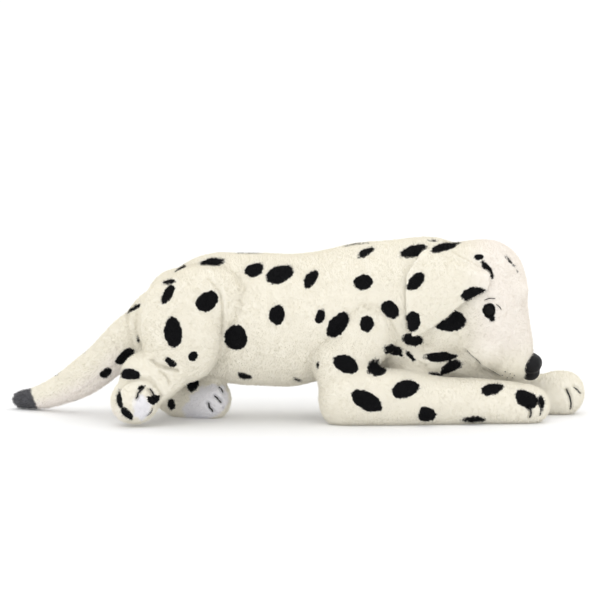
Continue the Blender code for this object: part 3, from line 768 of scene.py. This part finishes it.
def resample(places, step=2.0):
    """Evenly spaced points along a row of places."""
    points = np.array([tuple(p) for p in places])
    marks = np.r_[0, np.cumsum(np.linalg.norm(np.diff(points, axis=0), axis=1))]
    where = np.linspace(0, marks[-1], max(int(marks[-1] / (step * MM)), 3))
    fine = np.array([np.interp(where, marks, points[:, c]) for c in range(3)]).T
    for _ in range(3):
        fine[1:-1] = (fine[:-2] + 2 * fine[1:-1] + fine[2:]) / 4
    return [Vector(p) for p in fine]


def mirrored(points):
    return [Vector((p.x, 2 * MID - p.y, p.z)) for p in points]


def settle(tree, points, lift=0.0):
    """Moves points onto the nearest surface, lifted a little off it, and evens out the row."""
    out = []
    for point in points:
        hit, normal, _, _ = tree.find_nearest(point)
        out.append(tuple(hit + normal * lift * MM))
    line = np.array(out)
    for _ in range(4):
        line[1:-1] = (line[:-2] + 2 * line[1:-1] + line[2:]) / 4
    return [Vector(point) for point in line]


def groove(obj, points, width, depth):
    """Presses a soft crease into a piece along a row of points."""
    line = KDTree(len(points))
    for i, point in enumerate(points):
        line.insert(point, i)
    line.balance()
    mesh = obj.data
    where = coords(mesh)
    out = normals(mesh)
    for i, point in enumerate(where):
        _, _, away = line.find(point)
        if away < 3 * width * MM:
            where[i] -= out[i] * depth * MM * math.exp(-(away / (width * MM)) ** 2)
    set_coords(mesh, where)


def thread(name, rows, radius, around=8):
    """Round threads along rows of points, as one piece of closed tubes."""
    points, faces = [], []
    for row in rows:
        shift = len(points)
        line = np.array([tuple(p) for p in row])
        ways = np.gradient(line, axis=0)
        ways /= np.linalg.norm(ways, axis=1)[:, None]
        helper = np.array([0.12, 0.98, 0.15]) if abs(ways[:, 1]).mean() < 0.8 else np.array([0, 0, 1.0])
        side = np.cross(ways, helper)
        side /= np.linalg.norm(side, axis=1)[:, None]
        top = np.cross(side, ways)
        ends = np.ones(len(line))
        ends[0] = ends[-1] = 0.35
        for i in range(len(line)):
            for j in range(around):
                turn = 2 * math.pi * j / around
                twist = 1 + 0.12 * math.sin(turn * 2 + i * 1.3)
                arm = side[i] * math.sin(turn) + top[i] * math.cos(turn)
                points.append(tuple(line[i] + arm * radius * MM * ends[i] * twist))
        faces += [tuple(shift + k for k in face) for face in ring_faces(len(line), around)]
    obj = new_piece(name, points, faces)
    for polygon in obj.data.polygons:
        polygon.use_smooth = True
    return obj


# Creases and stitches seen from the camera's side, as (across, up)
THIGH_SEAM = [(-128, 196), (-112, 178), (-108, 155), (-109, 120), (-112, 96), (-120, 72), (-138, 58)]
THIGH_FOLD = [(-227, 90), (-207, 82), (-199, 75), (-172, 66)]
PAW_RIGHT = (-227, 22, 33)                  # centre and radius of the near hind paw
TAIL_SEAM = [(-350, 14), (-336, 20), (-308, 38), (-280, 58), (-259, 75), (-240, 90)]
TAIL_FOLD = [(-242, 146), (-236, 131), (-226, 117), (-227, 106), (-232, 96)]
HOCK_FOLDS = [
    [(-212, 56), (-206, 50), (-202, 44)],
    [(-196, 66), (-186, 58), (-184, 48)],
]
MOUTH = [(318, 53), (312, 52), (296, 53), (278, 58), (262, 66), (248, 79), (232, 93)]
TOES = {
    "foreleg_right": [[(321, 15), (324, 8), (323, 0)], [(335, 22), (341, 13), (338, 3)]],
    "foreleg_left": [[(374, 40), (380, 30), (381, 12), (376, 2)], [(386, 44), (395, 33), (399, 14)]],
    "hindleg_right": [[(-222, 42), (-227, 34), (-229, 27)], [(-212, 40), (-207, 33), (-204, 28)],
                      [(-206, 12), (-210, 5), (-214, 2)]],
    "hindleg_left": [[(-113, 45), (-109, 41), (-107, 36)], [(-119, 32), (-113, 26), (-109, 22)],
                     [(-130, 20), (-127, 14), (-122, 8)]],
}
UNDER_LIP = Vector((-4, 0, -6)) * MM        # from the mouth's thread to the hollow under the lip
WHISKERS = [(288, 65), (295, 62), (301, 60), (291, 57), (298, 57), (284, 60)]
EYE_SEEN = (265, 151)
EYE_RADII = (8.5, 7.5, 9.8)
EYE_RIM = [(265, 151, 18.5, 20, 0), (269, 141, 11, 8, -60)]
LASHES = [[(258, 166), (265, 169), (273, 168)], [(274, 160), (279, 157), (281, 152)]]
SOLE_RIGHT = (-222, 13, 25, 32)
SOLE_LEFT = (-128, 22, 50, 44)
TIP_START = 372.5                           # the grey tip starts this far back at the floor
TIP_LEAN = 0.43                             # and this much further back per height


def make_eye(name, tree, side):
    hit, normal, _ = seen_point(tree, *EYE_SEEN)
    if side > 0:
        hit, normal = mirrored([hit])[0], Vector((normal.x, -normal.y, normal.z))
    centre = hit - normal * 4.0 * MM
    forms = [ball((0, 0, 0), EYE_RADII, lean=-12)]
    eye = fuse(name, forms, voxel=1.2, passes=4)
    move_to(eye, centre, normal, Vector((0, 0, 1)))
    return eye


def move_to(obj, centre, normal, up):
    """Puts a form made at the dog's origin, facing -y, onto a place of the surface."""
    back = -normal
    side = up.cross(back).normalized() * -1
    top = back.cross(side).normalized() * -1
    points = coords(obj.data) - np.array([0, MID, 0])
    frame_axes = np.array([tuple(side), tuple(back), tuple(top)])
    set_coords(obj.data, points @ frame_axes + np.array(centre))


def make_nose(name):
    tip = Vector((324, 0, 74))
    forms = [
        ball((tip.x + 1, 0, tip.z + 4), (15, 22, 14), lean=14),
        ball((tip.x - 2, 0, tip.z - 8), (15, 15, 14), lean=20),
        ball((tip.x - 2, -13, tip.z + 1), (15, 11, 12)),
        ball((tip.x - 2, 13, tip.z + 1), (15, 11, 12)),
    ]
    nose = fuse(name, forms, voxel=1.6, passes=6)
    where = coords(nose.data)
    out = normals(nose.data)
    for side in (-1, 1):
        hole = np.array(place(tip.x + 9, side * 8.5, tip.z + 1))
        away = np.linalg.norm(where - hole, axis=1) / (4.2 * MM)
        where -= out * (3.0 * MM * np.exp(-away ** 2))[:, None]
    middle = np.abs(where[:, 1] - MID) / (1.6 * MM)
    low = np.clip((tip.z * MM - where[:, 2]) / (6 * MM), 0, 1)
    where -= out * (1.8 * MM * np.exp(-middle ** 2) * low)[:, None]
    set_coords(nose.data, where)
    return refine(nose)


def make_lashes(name, tree):
    rows = [resample(on_surface(tree, path, lift=2.4), 1.5) for path in LASHES]
    return thread(name, rows + [mirrored(row) for row in rows], 0.6)


def make_whiskers(name, tree):
    spots = on_surface(tree, WHISKERS)
    points, faces = [], []
    for spot in spots + mirrored(spots):
        shift = len(points)
        dot_points, dot_faces = ball((0, 0, 0), (0.9, 0.9, 0.9))
        points += [tuple(np.array(spot) + p * MM) for p in dot_points]
        faces += [tuple(shift + k for k in face) for face in dot_faces]
    return new_piece(name, points, faces)


def grow_pile(obj, length=2.5, per_metre=260000):
    """Short upright pile, for the picture only."""
    area = sum(polygon.area for polygon in obj.data.polygons)
    grown = obj.modifiers.new("pile", "PARTICLE_SYSTEM")
    settings = grown.particle_system.settings
    settings.type = "HAIR"
    settings.count = int(area * per_metre)
    settings.hair_length = length * MM
    settings.hair_step = 2
    settings.use_advanced_hair = True
    settings.normal_factor = length * MM * 0.25
    settings.factor_random = length * MM * 0.09
    settings.child_type = "INTERPOLATED"
    settings.rendered_child_count = PILE_CHILDREN
    settings.clump_factor = 0.35
    settings.roughness_1 = 0.0006
    settings.roughness_2 = 0.0012
    settings.root_radius = 0.16 * MM
    settings.tip_radius = 0.05 * MM
    settings.radius_scale = 1.0


# ---------------------------------------------------------------- stage

def make_stage():
    scene = bpy.context.scene
    scene.view_settings.view_transform = "Standard"
    scene.world = studio_world()
    floor = new_piece("floor", [(-6, -6, 0), (6, -6, 0), (6, 10, 0), (-6, 10, 0)], [(0, 1, 2, 3)])
    floor_finish, _, shader = new_material("floor")
    shader.inputs["Base Color"].default_value = (0.9, 0.9, 0.9, 1)
    shader.inputs["Roughness"].default_value = 0.9
    shader.inputs["Emission Color"].default_value = (1, 1, 1, 1)
    shader.inputs["Emission Strength"].default_value = 0.06
    floor.data.materials.append(floor_finish)
    add_sun("key", (-0.35, -0.75, 1.0), 0.5, 50)
    add_sun("top", (0.2, 0.35, 1.0), 0.5, 60)
    add_sun("front", (0.5, -1.5, 0.12), 0.3, 60)
    camera_data = bpy.data.cameras.new("camera")
    camera = bpy.data.objects.new("camera", camera_data)
    scene.collection.objects.link(camera)
    camera.location = camera_place()
    aim = Vector((0, MID, PICTURE_CENTRE)) - camera.location
    camera.rotation_euler = aim.to_track_quat("-Z", "Y").to_euler()
    camera_data.sensor_width = 36
    camera_data.lens = 36 * CAMERA_REACH / SEEN_LENGTH
    scene.camera = camera


def studio_world():
    """A white backdrop that lights the dog a little less than it shows."""
    world = bpy.data.worlds.new("studio")
    world.use_nodes = True
    tree = world.node_tree
    shader = tree.nodes["Background"]
    shader.inputs["Color"].default_value = (1, 1, 1, 1)
    ray = node(tree, "ShaderNodeLightPath")
    strength = node(tree, "ShaderNodeMapRange")
    strength.inputs["To Min"].default_value = 0.88
    strength.inputs["To Max"].default_value = 1.05
    tree.links.new(ray.outputs["Is Camera Ray"], strength.inputs["Value"])
    tree.links.new(strength.outputs["Result"], shader.inputs["Strength"])
    return world


def add_sun(name, side, strength, spread):
    light = bpy.data.lights.new(name, "SUN")
    light.angle = math.radians(spread)
    light.energy = strength
    obj = bpy.data.objects.new(name, light)
    bpy.context.scene.collection.objects.link(obj)
    obj.location = side
    obj.rotation_euler = (-Vector(side)).to_track_quat("-Z", "Y").to_euler()


# ---------------------------------------------------------------- the dog

def make_trunk_and_head():
    whole = refine(fuse("hide_trunk", torso_forms() + head_forms()))
    uneven(whole)
    tree = tree_of([whole])
    mouth = resample(on_surface(tree, MOUTH))
    for line in (mouth, mirrored(mouth)):
        groove(whole, line, 3.2, 6.0)
        groove(whole, [point + UNDER_LIP for point in line], 5.0, 4.5)
    tree = tree_of([whole])
    lips = [settle(tree, line, 0.6) for line in (mouth, mirrored(mouth))]
    trunk, head = whole, copy_of(whole, "hide_head")
    cut(trunk, NECK, -NECK_WAY)
    cut(head, NECK, NECK_WAY)
    return trunk, head, lips


def make_limb(name, base_tree, forms):
    limb = fuse(name, torso_forms() + forms)
    keep_added(limb, base_tree)
    refine(limb)
    uneven(limb)
    return tuck_and_cap(limb)


def ear_grid(side, cover, along=30, down=26):
    """Rows of points of an ear that hangs over whatever it covers, in millimetres."""
    rows = edge_points(along)
    flat = np.zeros((along, down, 3))
    for i in range(along):
        root = EAR_REAR.lerp(EAR_FRONT, i / (along - 1))
        for j in range(down):
            share = -0.05 + 1.05 * j / (down - 1)
            flat[i, j] = root.lerp(Vector(rows[i]), share)
    rest = cover_height(flat, side, cover)
    flat[:, :, 1] = rest
    return flat


def cover_height(flat, side, cover, gap=2.2):
    """How far out each point of the ear lies so that it clears what is under it."""
    along, down, _ = flat.shape
    floor = np.full((along, down), -1e3)
    for i in range(along):
        for j in range(down):
            x, y, z = flat[i, j]
            start = Vector((x * MM, MID + side * 0.3, z * MM))
            hit, _, _, _ = cover.ray_cast(start, Vector((0, -side, 0)))
            if hit is not None:
                floor[i, j] = side * (hit.y - MID) / MM + gap
    root_rows = 3
    floor[:, :root_rows] -= gap * 2.5
    height = np.where(floor > -1e2, floor, 40)
    for _ in range(60):
        wide = np.pad(height, 1, mode="edge")
        mean = (wide[:-2, 1:-1] + wide[2:, 1:-1] + wide[1:-1, :-2] + wide[1:-1, 2:]) / 4
        height[:, root_rows:] = np.maximum(mean, floor)[:, root_rows:]
    return height


def make_ear(name, side, cover, thick=7.0):
    grid = ear_grid(side, cover)
    along, down, _ = grid.shape
    points, faces = [], []
    for layer in (0, 1):
        for i in range(along):
            s = i / (along - 1)
            for j in range(down):
                t = j / (down - 1)
                x, y, z = grid[i, j]
                full = (1 - t ** 8) ** 0.5 * (1 - abs(2 * s - 1) ** 8) ** 0.5
                puff = thick * max(full, 0.12) * (1 + 0.35 * math.exp(-((1 - s) / 0.12) ** 2))
                points.append((x, side * (y + (0 if layer else puff)), z))
    layer = along * down
    for i in range(along - 1):
        for j in range(down - 1):
            a = i * down + j
            faces.append((a, a + 1, a + down + 1, a + down))
            faces.append((layer + a, layer + a + down, layer + a + down + 1, layer + a + 1))
    rim = list(range(down))
    rim += [i * down + down - 1 for i in range(1, along)]
    rim += [(along - 1) * down + j for j in range(down - 2, -1, -1)]
    rim += [i * down for i in range(along - 2, 0, -1)]
    for a, b in zip(rim, rim[1:] + rim[:1]):
        faces.append((b, a, layer + a, layer + b))
    return refine(fuse(name, [(np.array(points), faces)], voxel=2.6, passes=5))


def edge_points(count):
    """Evenly spread points round an ear's free edge."""
    _, fine, _ = smooth_rows(EAR_EDGE, 1.0)
    lengths = np.r_[0, np.cumsum(np.linalg.norm(np.diff(fine, axis=0), axis=1))]
    knots = [lengths[np.argmin(np.linalg.norm(fine - row, axis=1))] for row in np.array(EAR_EDGE, float)]
    targets = np.interp(np.linspace(0, len(knots) - 1, count), range(len(knots)), knots)
    return np.array([[np.interp(t, lengths, fine[:, c]) for c in range(3)] for t in targets])


def build_dog():
    trunk, head, lips = make_trunk_and_head()
    base_tree = make_base_tree()
    limbs = {
        "foreleg_right": foreleg_forms(FORELEG_RIGHT, -1, 0),
        "foreleg_left": foreleg_forms(FORELEG_LEFT, 1, LEFT_SHIFT),
        "hindleg_right": hindleg_forms(LOWER_LEG_RIGHT, -1),
        "hindleg_left": hindleg_forms(LOWER_LEG_LEFT, 1),
        "tail": [tube(TAIL, 20, 7), ball(*RUMP_BALL)],
    }
    pieces = {"torso": trunk, "head": head}
    for name, forms in limbs.items():
        pieces[name] = make_limb("hide_" + name, base_tree, forms)
    crease_hindleg(pieces["hindleg_right"])
    crease_tail(pieces["tail"])
    split_tail(pieces)
    cover = tree_of([trunk, head])
    pieces["ear_right"] = make_ear("hide_ear_right", -1, cover)
    pieces["ear_left"] = make_ear("hide_ear_left", 1, cover)
    toes = crease_toes(pieces)
    tree = tree_of(pieces.values())
    print_spots(pieces, tree)
    bend_hides(pieces)
    attach_threads(toes)
    attach_face(make_face(tree, lips))
    finish_washers()
    for piece in pieces.values():
        grow_pile(piece)


def make_base_tree():
    """The bare trunk, which shows what each limb adds to it."""
    base = fuse("base", torso_forms())
    base_tree = tree_of([base])
    bpy.data.objects.remove(base)
    return base_tree


def print_spots(pieces, tree):
    """Each ear has spots of its own; the rest of the hide shares one pattern across its seams."""
    on_ear, spots = sort_spots(pieces["ear_right"], seen_spots(tree, SPOTS), EAR_ROOT)
    rims = seen_spots(tree, EYE_RIM)
    spots += rims + [mirror_spot(spot) for spot in rims]
    tops = [spot for spot in spots if spot[0][2] > EAR_ROOT]
    soles = seen_spots(tree, [(*SOLE_RIGHT, 0), (*SOLE_LEFT, 0)])
    hidden = hidden_spots(tree, pieces, spots + on_ear)
    on_far_ear, hidden = sort_spots(pieces["ear_left"], hidden, math.inf)
    own = {"ear_right": on_ear + tops, "ear_left": on_far_ear}
    plush = plush_material()
    for name, piece in pieces.items():
        paint(piece, own.get(name, spots + hidden), soles)
        piece.data.materials.clear()
        piece.data.materials.append(plush)


def sort_spots(ear, spots, highest):
    """The spots whose centres lie on an ear below a height, and the others."""
    surface = tree_of([ear])
    on_ear, others = [], []
    for spot in spots:
        near = surface.find_nearest(Vector(spot[0]))[3] < 0.5 * MM
        (on_ear if near and spot[0][2] < highest else others).append(spot)
    return on_ear, others


def split_tail(pieces):
    """Cuts the tail's hide where the tail root ends, into the tail and its root."""
    plane = TAIL_ROOT + TAIL_WAY * TAIL_CUT * MM
    root = copy_of(pieces["tail"], "hide_tail_root")
    cut(root, plane, -TAIL_WAY)
    cut(pieces["tail"], plane, TAIL_WAY)
    pieces["tail_root"] = root


def crease_hindleg(leg):
    tree = tree_of([leg])
    for path, width, depth in [(THIGH_SEAM, 2.4, 4.0), (THIGH_FOLD, 2.8, 5.0)]:
        groove(leg, resample(on_surface(tree, path)), width, depth)
    across, up, radius = PAW_RIGHT
    turns = [math.radians(a) for a in range(0, 160, 12)]
    arc = [(across + radius * math.cos(a), up + radius * math.sin(a)) for a in turns]
    groove(leg, resample(on_surface(tree, arc)), 3.6, 4.5)
    for path in HOCK_FOLDS:
        groove(leg, resample(on_surface(tree, path)), 2.4, 3.2)


def crease_tail(tail):
    for path, width, depth in [(TAIL_FOLD, 3.4, 4.5), (TAIL_SEAM, 2.2, 1.8)]:
        groove(tail, resample(on_surface(tree_of([tail]), path)), width, depth)


def crease_toes(pieces):
    """Toe creases, each with a stitched thread lying in it."""
    threads = {}
    for name, paths in TOES.items():
        leg = pieces[name]
        tree = tree_of([leg])
        rows = [resample(on_surface(tree, path), 1.5) for path in paths]
        for row in rows:
            groove(leg, row, 2.8, 5.4)
        tree = tree_of([leg])
        threads[name] = thread("toe_thread_" + name, [settle(tree, row, 1.2) for row in rows], 1.1)
    return threads


def make_face(tree, lips):
    return {
        "nose": make_nose("shown_nose"),
        "eye_right": make_eye("shown_eye_right", tree, -1),
        "eye_left": make_eye("shown_eye_left", tree, 1),
        "mouth": thread("shown_mouth_thread", lips, 0.9),
        "lashes": make_lashes("lashes", tree),
        "whiskers": make_whiskers("whisker_dots", tree),
    }


def bend_hides(pieces):
    """Bakes each hide piece's placement into its mesh and hides the frame's soft parts that the hide
    covers, the neck's too.
    """
    bend(pieces["torso"])
    bend(pieces["head"])
    bend(pieces["tail_root"])
    bend(pieces["tail"])
    for name in ("foreleg_right", "foreleg_left"):
        bend(pieces[name])
    bend(pieces["hindleg_right"])
    bend(pieces["hindleg_left"])
    for side, name in ((-1, "ear_right"), (1, "ear_left")):
        root = place(*(EAR_REAR + EAR_FRONT) / 2)
        root.y = MID + side * EAR_REAR.y * MM
        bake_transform(pieces[name])
    bodies = frame["record"]["behaviour"]["bodies"]
    for name, piece in pieces.items():
        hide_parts(*soft_nodes(bodies[name]))
    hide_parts(*bodies["neck"])


def bend(piece):
    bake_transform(piece)


def attach_threads(toes):
    bodies = frame["record"]["behaviour"]["bodies"]
    black = moulded_material("toe_thread_black", THREAD_BLACK, 0.5, 0.8, 2500)
    for name, piece in toes.items():
        piece.data.materials.append(black)
        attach(piece, name)
        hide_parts(*[n for n in bodies[name] if "thread" in n])


def attach_face(face):
    thread_black = moulded_material("thread_black", THREAD_BLACK, 0.5, 0.8, 2500)
    gloss = moulded_material("eye_black", (0.002, 0.002, 0.002), 0.12, 0.22, 300, shine=0.12)
    leather = moulded_material("nose_black", (0.006, 0.006, 0.007), 0.4, 0.65, 1200, shine=0.2)
    rows = {
        "nose": (leather, "nose_plastic", ["nose"]),
        "eye_right": (gloss, "eye_plastic", ["eye_right", "eyelid_right"]),
        "eye_left": (gloss, "eye_plastic", ["eye_left", "eyelid_left"]),
        "mouth": (thread_black, "black_thread", ["mouth_thread"]),
        "whiskers": (thread_black, "black_thread", []),
        "lashes": (thread_black, "black_thread", []),
    }
    for name, (finish, slot, nodes) in rows.items():
        face[name].data.materials.append(finish)
        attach(face[name], "head")
        if nodes:
            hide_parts(*nodes)


def finish_washers():
    """The washers behind the eyes and the nose stay as the frame's own parts, in moulded plastic."""
    washer = moulded_material("washer_plastic", (0.62, 0.61, 0.58), 0.4, 0.6, 900)
    for name in frame["nodes"]:
        if "washer" in name:
            finishes = bpy.data.objects[name].data.materials
            finishes.clear()
            finishes.append(washer)


def soft_nodes(nodes):
    hard = ("washer", "thread", "nose", "eye")
    return [n for n in nodes if not any(word in n for word in hard)]


build_dog()
make_stage()
